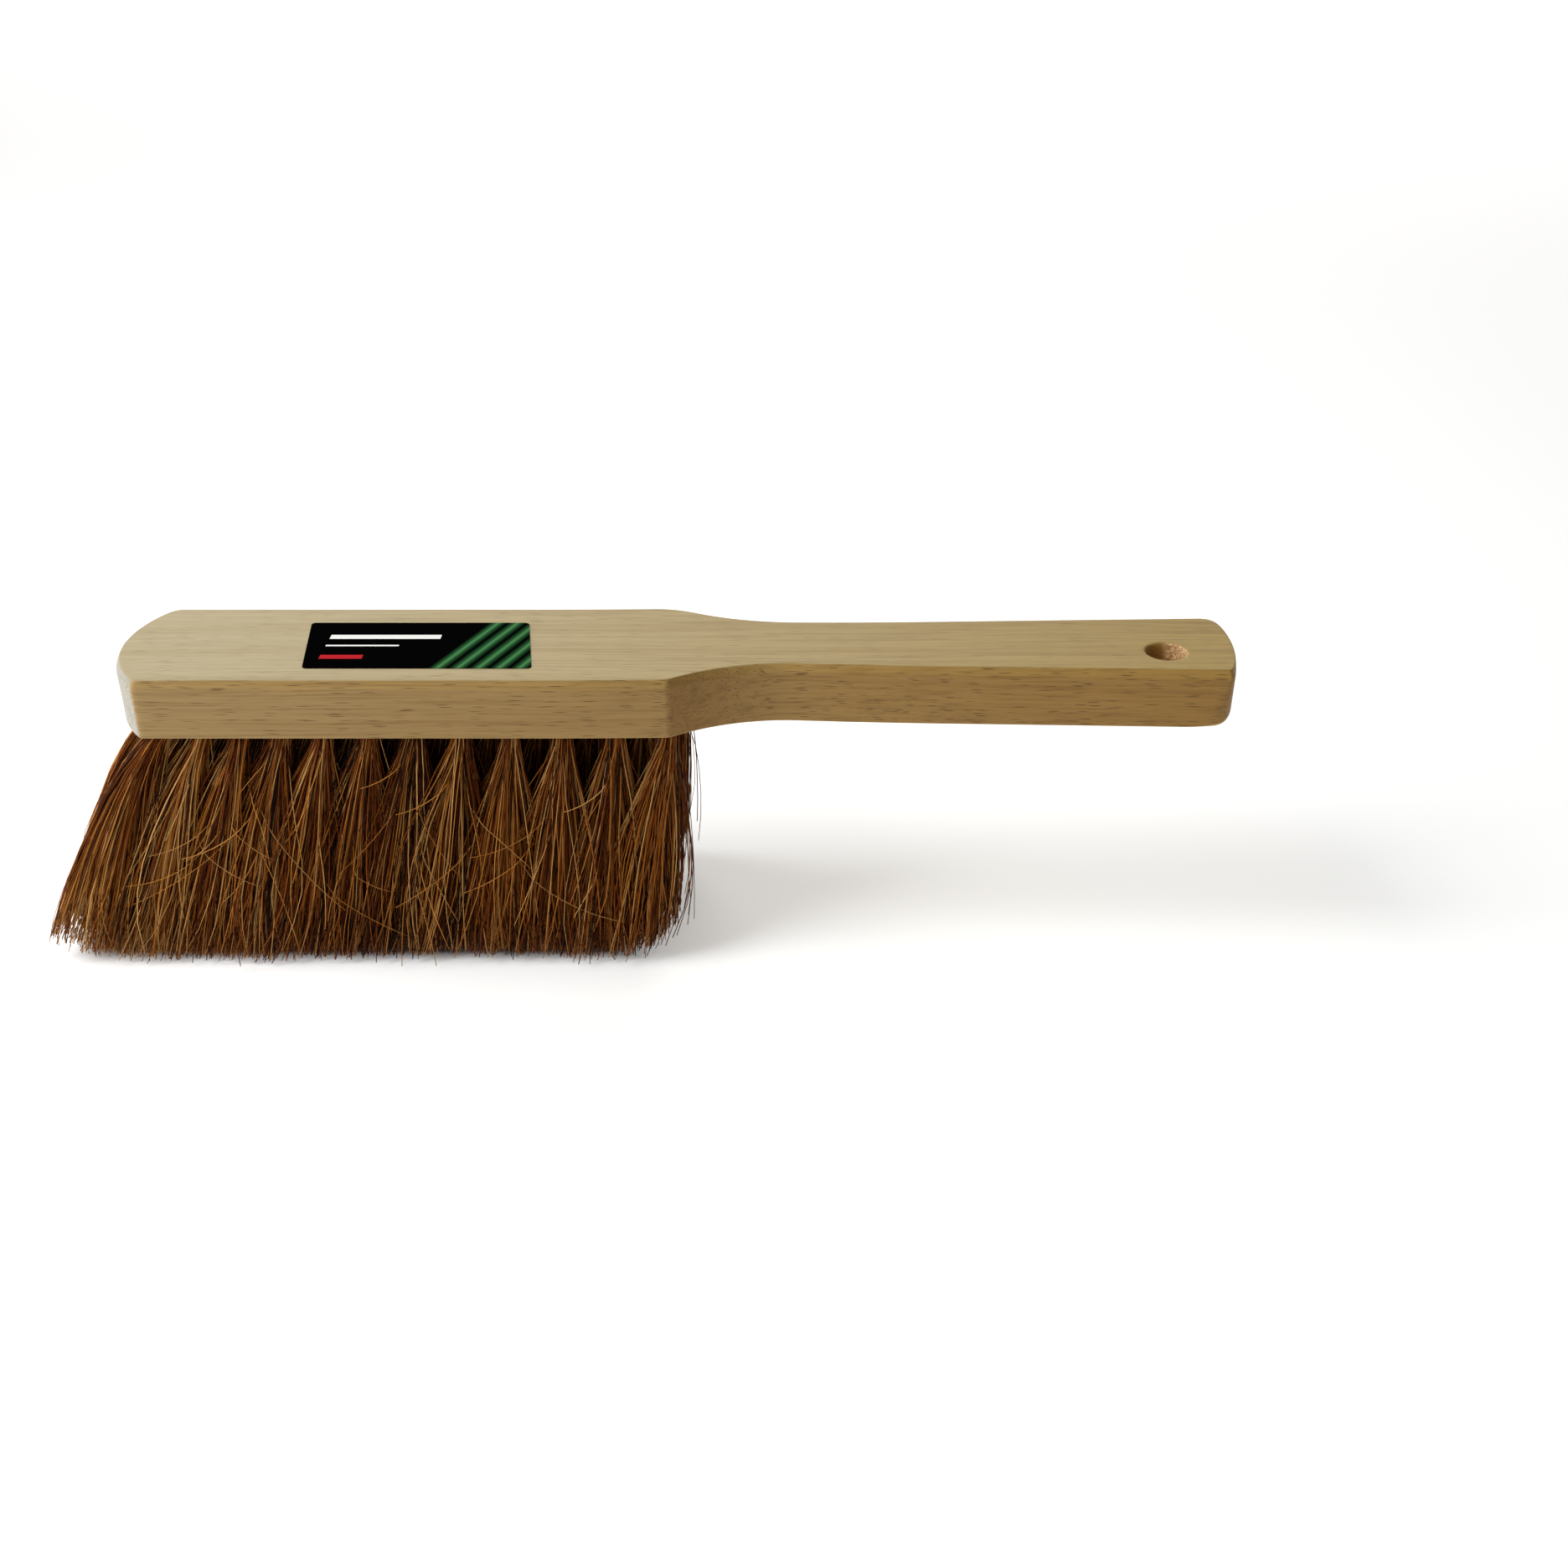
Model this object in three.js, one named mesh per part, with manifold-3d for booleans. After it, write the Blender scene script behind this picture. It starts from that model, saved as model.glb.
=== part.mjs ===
// Wooden hand brush: head and handle cut from one plank, four rows of coir tufts, a wire staple in
// every tuft hole and a label on top of the head.
// Millimetres, +Z up. +X runs from the toe of the head to the end of the handle, -Y is the front side,
// and the brush stands on its fibre tips.

import * as THREE from "three";
import { mergeVertices } from "three/addons/utils/BufferGeometryUtils.js";
import Module from "manifold-3d";

// Block: a plank of one thickness, cut to its outline
const blockThickness = 16;
const headLength = 143; // toe to the arris where the neck starts
const headWidth = 47;
const toeRadius = 35;
const neckLength = 32; // arris to the narrowest place of the handle
const neckWidth = 28;
const handleLength = 115; // narrowest place to the end
const endWidth = 35;
const endRadius = 55; // crown of the handle's end
const cornerEase = 4; // length that a rounded corner of the outline takes from each side
const edgeInset = 0.9; // eased edges, top and bottom: in from the side
const edgeDrop = 2.4; // and along the thickness

// Hole that the brush hangs by, drilled off the middle of the handle
const hangHoleDiameter = 10;
const hangHoleFromEnd = 18.5;
const hangHoleOffset = 5; // towards the front side

// Label stuck on top of the head
const labelLength = 58;
const labelWidth = 28.5;
const labelThickness = 0.2;
const labelCorner = 1.2;
const labelSlant = 4.2; // its front edge lies this much nearer the heel than its back edge
const labelFromToe = 78; // toe to the middle of the label
const labelOffset = 1.4; // towards the front side

// Tuft holes: four rows, drilled in a fan that opens towards the toe
const tuftsPerRow = 12;
const rowEdgeMargin = 6.3; // outer rows to the side of the head
const firstTuftFromToe = 15.5; // first hole of an outer row
const lastTuftPastArris = 1; // last hole of an outer row, past the neck's arris
const pitchRatio = 1.5; // hole pitch at the heel over hole pitch at the toe
const innerRowLead = 0.5; // inner rows start this share of a pitch nearer the toe
const holeDiameter = 5.5;
const webOverHoles = 5.5; // wood left between a hole's end and the top of the block

// Fibres
const fibreLength = 65; // underside of the block to the tips
const toeSweep = 29; // tips of an outer row's first tuft, towards the toe from its hole
const heelSweep = 9; // the same for the last tuft
const rowSplay = 5; // tips of an outer row, outwards from its holes
const tuftReachAlong = 8.5; // reach of one tuft's strands at the tips, along its row
const tuftReachAcross = 6; // and across it
const strandsAround = 6; // strands round the middle one of each tuft
const strandRadius = 0.6;
const strandTipRadius = 0.45;
const tipRagged = 4; // how far the shortest strands end above the longest
const tipsCutFlat = 0.45; // share of the strands that reach the trimmed end
const splayCurve = 0.8; // 1 spreads a tuft in straight lines, less opens it sooner

// Slice of the backing that carries one row, let into the underside of the block
const sliceThickness = 2.5;
const sliceMargin = 0.2; // past the holes on both sides

// Staple of square wire that holds the fold of each tuft
const wireThickness = 0.8;
const stapleBite = 3; // legs into the wood past the hole's end
const foldThickness = 1.6; // fibres between the staple's crown and the hole's end

const seatGap = 0.3; // clearance of a seated piece

// Facets of round shapes
const outlineSegments = 10;
const holeSides = 8;
const smallCornerSegments = 3;

const wasm = await Module();
wasm.setup();

function toSolid(geometry, matrix = new THREE.Matrix4()) {
  const bare = new THREE.BufferGeometry();
  bare.setAttribute("position", geometry.getAttribute("position").clone());
  bare.setIndex(geometry.index);
  bare.applyMatrix4(matrix);
  const merged = mergeVertices(bare);
  return new wasm.Manifold(
    new wasm.Mesh({
      numProp: 3,
      vertProperties: merged.attributes.position.array,
      triVerts: new Uint32Array(merged.index.array),
    }),
  );
}

function toGeometry(solid) {
  const { vertProperties, triVerts } = solid.getMesh();
  const geometry = new THREE.BufferGeometry();
  geometry.setAttribute("position", new THREE.BufferAttribute(vertProperties, 3));
  geometry.setIndex(new THREE.BufferAttribute(triVerts, 1));
  const faceted = geometry.toNonIndexed();
  faceted.computeVertexNormals();
  return faceted;
}

const join = (solids) => solids.reduce((whole, solid) => whole.add(solid));

const namedMesh = (name, geometry, material) => Object.assign(new THREE.Mesh(geometry, material), { name });

const plainExtrusion = (shape, depth, curveSegments = outlineSegments) =>
  new THREE.ExtrudeGeometry(shape, { depth, bevelEnabled: false, curveSegments });

const rubberwood = new THREE.MeshStandardMaterial({ color: "#b9a272", roughness: 0.65, metalness: 0 });
const coir = new THREE.MeshStandardMaterial({ color: "#6d4019", roughness: 0.8, metalness: 0 });
const steelWire = new THREE.MeshStandardMaterial({ color: "#9a9a96", roughness: 0.35, metalness: 1 });
const printedPaper = new THREE.MeshStandardMaterial({ color: "#10130f", roughness: 0.4, metalness: 0 });

// Heights and ends that several pieces share
const underside = fibreLength;
const blockTop = underside + blockThickness;
const neckX = headLength + neckLength;
const endX = neckX + handleLength;

// Outline of the plank, front side first, seen from above
function blockOutline() {
  const headHalf = headWidth / 2;
  const neckHalf = neckWidth / 2;
  const endHalf = endWidth / 2;
  const neckRise = headHalf - neckHalf;
  const neckRadius = (neckLength ** 2 + neckRise ** 2) / (2 * neckRise);
  const neckTurn = Math.asin(neckLength / neckRadius);
  const toeTurn = Math.asin(headHalf / toeRadius);
  const toeCornerX = toeRadius * (1 - Math.cos(toeTurn));
  const toeEase = toeTurn - cornerEase / toeRadius;
  const endTurn = Math.asin(endHalf / endRadius);
  const endCornerX = endX - endRadius * (1 - Math.cos(endTurn));
  const endEase = endTurn - cornerEase / endRadius;
  const onToe = (turn) => [toeRadius * (1 - Math.cos(turn)), toeRadius * Math.sin(turn)];
  const onEnd = (turn) => [endX - endRadius * (1 - Math.cos(turn)), endRadius * Math.sin(turn)];
  const handleTaper = (endHalf - neckHalf) / (endCornerX - neckX);
  const easedEndX = endCornerX - cornerEase;
  const easedEndHalf = endHalf - handleTaper * cornerEase;

  const outline = new THREE.Shape();
  outline.moveTo(toeCornerX + cornerEase, -headHalf);
  outline.lineTo(headLength, -headHalf);
  outline.absarc(neckX, -neckHalf - neckRadius, neckRadius, Math.PI / 2 + neckTurn, Math.PI / 2, true);
  outline.lineTo(easedEndX, -easedEndHalf);
  outline.quadraticCurveTo(endCornerX, -endHalf, ...onEnd(-endEase));
  outline.absarc(endX - endRadius, 0, endRadius, -endEase, endEase, false);
  outline.quadraticCurveTo(endCornerX, endHalf, easedEndX, easedEndHalf);
  outline.lineTo(neckX, neckHalf);
  outline.absarc(neckX, neckHalf + neckRadius, neckRadius, -Math.PI / 2, -Math.PI / 2 - neckTurn, true);
  outline.lineTo(toeCornerX + cornerEase, headHalf);
  outline.quadraticCurveTo(toeCornerX, headHalf, ...onToe(toeEase));
  outline.absarc(toeRadius, 0, toeRadius, Math.PI - toeEase, Math.PI + toeEase, false);
  outline.quadraticCurveTo(toeCornerX, -headHalf, toeCornerX + cornerEase, -headHalf);
  return outline;
}

// The plank with eased edges and the hanging hole, whose rims are eased in the same way
function plankGeometry() {
  const outline = blockOutline();
  const hangHole = new THREE.Path();
  hangHole.absarc(endX - hangHoleFromEnd, -hangHoleOffset, hangHoleDiameter / 2, 0, 2 * Math.PI, true);
  outline.holes.push(hangHole);
  const plank = new THREE.ExtrudeGeometry(outline, {
    depth: blockThickness - 2 * edgeDrop,
    bevelThickness: edgeDrop,
    bevelSize: edgeInset,
    bevelOffset: -edgeInset,
    bevelSegments: 1,
    curveSegments: outlineSegments,
  });
  return plank.translate(0, 0, underside + edgeDrop);
}

// Rows of tufts, evenly spaced across the head. Front and back mirror each other, down to the seeds that
// spread their strands. place counts holes along an outer row from its first one.
const outerRow = headWidth / 2 - rowEdgeMargin;
const innerRow = outerRow / 3;
const rows = [
  { name: "front", y: -outerRow, lead: 0, firstSeed: 0 },
  { name: "inner_front", y: -innerRow, lead: innerRowLead, firstSeed: tuftsPerRow },
  { name: "inner_back", y: innerRow, lead: innerRowLead, firstSeed: tuftsPerRow },
  { name: "back", y: outerRow, lead: 0, firstSeed: 0 },
];

const lastPlace = tuftsPerRow - 1;
const lastTuftX = headLength + lastTuftPastArris;
const meanPitch = (lastTuftX - firstTuftFromToe) / lastPlace;
const toePitch = (2 * meanPitch) / (1 + pitchRatio);
const pitchGrowth = (toePitch * (pitchRatio - 1)) / (lastPlace - 1);

function rowTufts(row) {
  return Array.from({ length: tuftsPerRow }, (_, i) => {
    const place = i - row.lead;
    const rootX = firstTuftFromToe + toePitch * place + (pitchGrowth * place * (place - 1)) / 2;
    const tipStart = firstTuftFromToe - toeSweep;
    const tipX = tipStart + ((lastTuftX - heelSweep - tipStart) * place) / lastPlace;
    const root = new THREE.Vector3(rootX, row.y, underside);
    const tip = new THREE.Vector3(tipX, row.y * (1 + rowSplay / outerRow), 0);
    const axis = new THREE.Vector3().subVectors(root, tip).normalize();
    const turn = new THREE.Quaternion().setFromUnitVectors(new THREE.Vector3(0, 0, 1), axis);
    const matrix = new THREE.Matrix4().compose(root, turn, new THREE.Vector3(1, 1, 1));
    return { root, tip, turn, matrix, number: i + 1, seed: row.firstSeed + i, side: Math.sign(row.y) };
  });
}

for (const row of rows) row.tufts = rowTufts(row);

// One tuft hole and what it holds, along the hole's own axis from the underside of the block
const holeDepth = blockThickness - webOverHoles;
const holeRadius = holeDiameter / 2;
const foldTop = holeDepth - seatGap;
const foldBottom = foldTop - foldThickness;
const crownTop = foldBottom - seatGap;
const crownBottom = crownTop - wireThickness;
const wireRoom = wireThickness / 2 + seatGap;
const flatRadius = holeRadius * Math.cos(Math.PI / holeSides);
const legMiddle = Math.sqrt(flatRadius ** 2 - wireRoom ** 2) - wireRoom;
const legTop = holeDepth + stapleBite;
const foldHalfWidth = legMiddle - wireRoom;
const foldReach = Math.sqrt((flatRadius - seatGap) ** 2 - foldHalfWidth ** 2);

// Shape in the plane of the hole's axis, given as corners [across, along], extruded evenly to both sides
function uprightPlate(corners, width) {
  const shape = new THREE.Shape(corners.map(([across, along]) => new THREE.Vector2(across, along)));
  return plainExtrusion(shape, width).translate(0, 0, -width / 2).rotateX(Math.PI / 2);
}

// Staple: crown across the row, both legs up into the wood
function stapleGeometry() {
  const outside = legMiddle + wireThickness / 2;
  const inside = legMiddle - wireThickness / 2;
  const corners = [
    [-outside, crownBottom],
    [outside, crownBottom],
    [outside, legTop],
    [inside, legTop],
    [inside, crownTop],
    [-inside, crownTop],
    [-inside, legTop],
    [-outside, legTop],
  ];
  return uprightPlate(corners, wireThickness).rotateZ(Math.PI / 2);
}

// Fold of a tuft: the fibres come up one side of the crown, over it and down the other side
function foldGeometry() {
  const foot = sliceThickness / 2;
  const corners = [
    [-foldReach, foot],
    [-wireRoom, foot],
    [-wireRoom, foldBottom],
    [wireRoom, foldBottom],
    [wireRoom, foot],
    [foldReach, foot],
    [foldReach, foldTop],
    [-foldReach, foldTop],
  ];
  return uprightPlate(corners, 2 * foldHalfWidth);
}

// Drilled hole with the two slots that the staple's legs make in the wood
function holeCutters() {
  const bore = new THREE.CylinderGeometry(holeRadius, holeRadius, holeDepth, holeSides)
    .rotateX(Math.PI / 2)
    .translate(0, 0, holeDepth / 2);
  const slotWidth = 2 * wireRoom;
  const slotBottom = holeDepth - seatGap;
  const slotHeight = stapleBite + 2 * seatGap;
  const slots = [-legMiddle, legMiddle].map((y) =>
    new THREE.BoxGeometry(slotWidth, slotWidth, slotHeight).translate(0, y, slotBottom + slotHeight / 2),
  );
  return [bore, ...slots];
}

// Slice of the backing under one row, grown by a gap for the groove that it lies in
function sliceGeometry(row, gap) {
  const half = holeRadius + sliceMargin + gap;
  const slot = new THREE.Shape();
  slot.absarc(row.tufts[lastPlace].root.x, row.y, half, -Math.PI / 2, Math.PI / 2, false);
  slot.absarc(row.tufts[0].root.x, row.y, half, Math.PI / 2, (3 * Math.PI) / 2, false);
  return plainExtrusion(slot, sliceThickness + gap, smallCornerSegments).translate(0, 0, underside);
}

// Three-sided strand through level rings: {middle, radius} from the root down to the flat-cut tip
function strandGeometry(rings, turn) {
  const sides = 3;
  const positions = rings.flatMap(({ middle, radius }) =>
    Array.from({ length: sides }, (_, k) => {
      const angle = turn + (2 * Math.PI * k) / sides;
      return [middle.x + radius * Math.cos(angle), middle.y + radius * Math.sin(angle), middle.z];
    }).flat(),
  );
  const faces = [0, 1, 2];
  for (let r = 0; r + 1 < rings.length; r++) {
    for (let k = 0; k < sides; k++) {
      const next = (k + 1) % sides;
      const [a, b] = [r * sides + k, r * sides + next];
      faces.push(a, a + sides, b, b, a + sides, b + sides);
    }
  }
  const last = (rings.length - 1) * sides;
  faces.push(last, last + 2, last + 1);
  const geometry = new THREE.BufferGeometry();
  geometry.setAttribute("position", new THREE.Float32BufferAttribute(positions, 3));
  geometry.setIndex(faces);
  return geometry;
}

// Strands of one tuft: one in the middle and a ring round it, spreading from the hole to the tips
const goldenShare = 0.618034;
const rootReach = holeRadius - strandRadius - seatGap;

function tuftStrands({ root, tip, seed, side }) {
  const rootShare = -sliceThickness / 2 / fibreLength;
  return Array.from({ length: strandsAround + 1 }, (_, k) => {
    const angle = 2 * Math.PI * (k / strandsAround + seed * goldenShare);
    const ring = k === strandsAround ? 0 : 1;
    const shortness = ((seed * (strandsAround + 1) + k) * goldenShare) % 1;
    const tipHeight = tipRagged * Math.max(0, shortness - tipsCutFlat);
    const tipShare = 1 - tipHeight / fibreLength;
    const rings = [rootShare, tipShare / 2, tipShare].map((share) => {
      const spread = Math.max(0, share) ** splayCurve;
      const along = ring * (rootReach + (tuftReachAlong - rootReach) * spread);
      const across = ring * (rootReach + (tuftReachAcross - rootReach) * spread);
      const middle = new THREE.Vector3().lerpVectors(root, tip, share);
      middle.x += along * Math.cos(angle);
      middle.y += side * across * Math.sin(angle);
      return { middle, radius: strandRadius + (strandTipRadius - strandRadius) * share };
    });
    return strandGeometry(rings, side * angle);
  });
}

// Pieces

const brush = new THREE.Group();
const standing = new THREE.Group();
brush.add(standing);

const cutters = rows.flatMap((row) => [
  toSolid(sliceGeometry(row, seatGap)),
  ...row.tufts.flatMap((tuft) => holeCutters().map((cutter) => toSolid(cutter, tuft.matrix))),
]);
const block = toSolid(plankGeometry()).subtract(join(cutters));
standing.add(namedMesh("handle_block", toGeometry(block), rubberwood));

const fold = foldGeometry();
const staple = stapleGeometry();
for (const row of rows) {
  const slice = toSolid(sliceGeometry(row, 0));
  const folds = row.tufts.map((tuft) => toSolid(fold, tuft.matrix));
  const strands = row.tufts.flatMap(tuftStrands).map((strand) => toSolid(strand));
  const bristles = join([slice, ...folds, ...strands]);
  standing.add(namedMesh(`bristle_row_${row.name}`, toGeometry(bristles), coir));
  for (const tuft of row.tufts) {
    const mesh = namedMesh(`staple_${row.name}_${String(tuft.number).padStart(2, "0")}`, staple, steelWire);
    mesh.position.copy(tuft.root);
    mesh.quaternion.copy(tuft.turn);
    standing.add(mesh);
  }
}

function labelOutline() {
  const x = labelLength / 2 - labelCorner;
  const y = labelWidth / 2 - labelCorner;
  const quarter = Math.PI / 2;
  const outline = new THREE.Shape();
  outline.absarc(x, y, labelCorner, 0, quarter, false);
  outline.absarc(-x, y, labelCorner, quarter, 2 * quarter, false);
  outline.absarc(-x, -y, labelCorner, 2 * quarter, 3 * quarter, false);
  outline.absarc(x, -y, labelCorner, 3 * quarter, 4 * quarter, false);
  return outline;
}

const slant = new THREE.Matrix4().makeShear(0, 0, -labelSlant / labelWidth, 0, 0, 0);
const label = namedMesh(
  "label",
  plainExtrusion(labelOutline(), labelThickness, smallCornerSegments).applyMatrix4(slant),
  printedPaper,
);
label.position.set(labelFromToe, -labelOffset, blockTop);
standing.add(label);

// The origin lies under the middle of the whole brush, on the surface that it stands on
const extent = new THREE.Box3().setFromObject(standing, true);
const extentMiddle = extent.getCenter(new THREE.Vector3());
standing.position.set(-extentMiddle.x, -extentMiddle.y, -extent.min.z);

export default brush;
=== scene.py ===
"""Looks of the wooden hand brush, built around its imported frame: block, staples, coir tufts and label."""

import bmesh
import bpy
import numpy as np
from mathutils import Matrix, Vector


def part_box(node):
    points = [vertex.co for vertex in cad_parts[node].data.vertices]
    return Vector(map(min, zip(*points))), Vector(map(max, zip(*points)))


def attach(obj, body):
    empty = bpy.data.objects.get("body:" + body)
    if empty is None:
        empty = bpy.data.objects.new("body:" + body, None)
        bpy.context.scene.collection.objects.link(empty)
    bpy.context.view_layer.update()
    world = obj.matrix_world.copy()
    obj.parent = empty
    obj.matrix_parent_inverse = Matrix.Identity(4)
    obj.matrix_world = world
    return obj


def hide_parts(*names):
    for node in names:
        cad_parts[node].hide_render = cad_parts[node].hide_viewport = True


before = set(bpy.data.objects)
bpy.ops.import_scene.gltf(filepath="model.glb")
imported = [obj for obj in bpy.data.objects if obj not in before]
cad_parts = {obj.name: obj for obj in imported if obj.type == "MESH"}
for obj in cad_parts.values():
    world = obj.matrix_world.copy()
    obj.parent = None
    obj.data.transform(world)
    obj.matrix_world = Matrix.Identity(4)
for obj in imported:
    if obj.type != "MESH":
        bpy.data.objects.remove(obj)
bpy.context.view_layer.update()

# Camera: it stands in front of the brush and above it, square to the plank, and looks down on its front.
# Its place is measured from the toe of the head, the middle of the plank and the underside of the plank.
MM = 0.001
block_low, block_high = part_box("handle_block")
toe_x, underside = block_low.x, block_low.z

camera_from_toe = 172.9 * MM
camera_before_middle = 411.6 * MM
camera_above_underside = 200.7 * MM
camera_looks_down = np.radians(28.83)
picture_px = 1872
focal_length_px = 2061

camera_data = bpy.data.cameras.new("Camera")
camera_data.sensor_width = 36
camera_data.lens = camera_data.sensor_width * focal_length_px / picture_px
camera = bpy.data.objects.new("Camera", camera_data)
camera.location = (toe_x + camera_from_toe, -camera_before_middle, underside + camera_above_underside)
camera.rotation_euler = (np.pi / 2 - camera_looks_down, 0, 0)
bpy.context.scene.collection.objects.link(camera)
bpy.context.scene.camera = camera

# Block: head and handle sawn in one piece from a planed rubberwood board, then moulded along its edges.
# The arris at the neck stays crisp on the front side; the back corners are sanded rounder.
# Forty-eight fanned tuft holes are bored in the underside, and one hole through the handle to hang it by.
plank_length = (block_high.x - block_low.x) / MM
plank_thickness = (block_high.z - block_low.z) / MM
head_half = (block_high.y - block_low.y) / MM / 2
head_length = 143.8
toe_radius = 36.7
neck_x = 175
neck_half = 14
end_half = 17.5
end_radius = 60
toe_ease_front, toe_ease_back = 0.9, 2.8
arris_wear_front, arris_wear_back = 0.8, 5.0
end_ease_front, end_ease_back, end_ease_below = 1.5, 9.0, 8.0
toe_skew, end_skew = 1.7, 2.5
neck_wander = 0.9
neck_wander_x, neck_wander_reach = 163, 25
wear_samples = 9
toe_steps, end_steps, side_steps = 32, 26, 260
corner_reach, corner_steps = 1.8, 19


def smooth_least(a, b, ease):
    """The smaller of two lengths; where they differ by less than ease, a parabola rounds the corner."""
    share = np.clip(0.5 + 0.5 * (b - a) / ease, 0, 1)
    return b + (a - b) * share - ease * share * (1 - share)


def plan_half_width(x):
    """Half width of head, neck and handle: level, then a hollow arc to the neck, then an even taper."""
    neck_length = neck_x - head_length
    neck_rise = head_half - neck_half
    neck_radius = (neck_length**2 + neck_rise**2) / (2 * neck_rise)
    before_neck = np.clip(neck_x - x, 0, neck_length)
    hollow = neck_half + neck_radius - np.sqrt(neck_radius**2 - before_neck**2)
    taper = (end_half - neck_half) / (plank_length - neck_x)
    return np.where(x < head_length, head_half, hollow + taper * np.clip(x - neck_x, 0, None))


def outline_half_width(x, inset, toe_ease, arris_wear, end_ease, side):
    """Least of the toe's arc, the plan averaged over the worn length and the end's arc, all drawn inset from
    the plank's sides, with eased corners. Both arcs are shifted across the plank, which widens one side."""
    shifts = np.linspace(-arris_wear, arris_wear, wear_samples)
    worn = np.mean([plan_half_width(x + shift) for shift in shifts], axis=0)
    to_toe_centre = np.clip(toe_radius - x, 0, None)
    to_end_centre = np.clip(end_radius - (plank_length - x), 0, None)
    toe_arc = np.sqrt(np.clip((toe_radius - inset) ** 2 - to_toe_centre**2, 0, None))
    end_arc = np.sqrt(np.clip((end_radius - inset) ** 2 - to_end_centre**2, 0, None))
    head = smooth_least(toe_arc + side * toe_skew, worn - inset, toe_ease)
    return smooth_least(head, end_arc + side * end_skew, end_ease)


def outline_stations():
    """Places along the plank: even turns round both ends, even steps between, finer ones at the corners."""
    toe_turns = np.linspace(0, np.arcsin(head_half / toe_radius), toe_steps)
    end_turns = np.linspace(0, np.arcsin(end_half / end_radius), end_steps)
    toe = toe_radius * (1 - np.cos(toe_turns))
    end = plank_length - end_radius * (1 - np.cos(end_turns))
    between = np.linspace(toe[-1], end[-1], side_steps)
    near_corner = np.linspace(-corner_reach, corner_reach, corner_steps)
    corners = [corner + near_corner for corner in (toe[-1], head_length, end[-1])]
    return np.unique(np.round(np.concatenate([toe, between, *corners, end]), 3))


def eased_corners(corners, reaches, steps=6):
    """Line through the corners, each inner one cut off by a parabola that starts and ends reach from it."""
    points = np.array(corners, float)
    reach = np.array(reaches, float)[:, None]
    middle = points[1:-1]
    back = points[:-2] - middle
    ahead = points[2:] - middle
    start = middle + reach * back / np.linalg.norm(back, axis=1, keepdims=True)
    end = middle + reach * ahead / np.linalg.norm(ahead, axis=1, keepdims=True)
    t = np.linspace(0, 1, steps)[None, :, None]
    curves = (1 - t) ** 2 * start[:, None] + 2 * t * (1 - t) * middle[:, None] + t**2 * end[:, None]
    return np.concatenate([points[:1], curves.reshape(-1, 2), points[-1:]])


def grid_quads(rows, columns, closed_rows=False, closed_columns=False):
    """Corner numbers of the quads of a grid of points numbered row by row."""
    numbers = np.arange(rows * columns).reshape(rows, columns)
    if closed_rows:
        numbers = np.concatenate([numbers, numbers[:1]])
    if closed_columns:
        numbers = np.concatenate([numbers, numbers[:, :1]], axis=1)
    corners = [numbers[:-1, :-1], numbers[:-1, 1:], numbers[1:, 1:], numbers[1:, :-1]]
    return np.stack(corners, axis=-1).reshape(-1, 4)


def mesh_piece(name, points, *face_groups):
    """Smooth mesh object at the origin from points in metres and groups of faces alike in number of sides."""
    corners = np.concatenate([group.ravel() for group in face_groups])
    sides = np.concatenate([np.full(len(group), group.shape[1]) for group in face_groups])
    mesh = bpy.data.meshes.new(name)
    mesh.vertices.add(len(points))
    mesh.vertices.foreach_set("co", np.ascontiguousarray(points, np.float32).ravel())
    mesh.loops.add(len(corners))
    mesh.loops.foreach_set("vertex_index", corners.astype(np.int32))
    mesh.polygons.add(len(sides))
    mesh.polygons.foreach_set("loop_start", (np.cumsum(sides) - sides).astype(np.int32))
    mesh.polygons.foreach_set("use_smooth", np.ones(len(sides), bool))
    mesh.update(calc_edges=True)
    piece = bpy.data.objects.new(name, mesh)
    bpy.context.scene.collection.objects.link(piece)
    return piece


def close_shell(piece):
    """Merges points that coincide and turns all faces of the closed shell outwards."""
    merge_reach = 0.001 * MM
    shell = bmesh.new()
    shell.from_mesh(piece.data)
    bmesh.ops.remove_doubles(shell, verts=shell.verts, dist=merge_reach)
    bmesh.ops.recalc_face_normals(shell, faces=shell.faces)
    shell.to_mesh(piece.data)
    shell.free()


top_bevel_in, top_bevel_down = 1.05, 2.2
bevel_eases = (0.3, 0.7)
bevel_at_end, bevel_fade = 0.35, 3.5
bottom_round, end_bottom_round = 0.6, 4.0
end_round_reach, end_round_power = 14, 1.5
round_steps = 9
cap_margin = 1.4
cap_columns = 25
sanding_waver = 0.1
slow_waver, quick_waver = 23, 8.7


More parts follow.
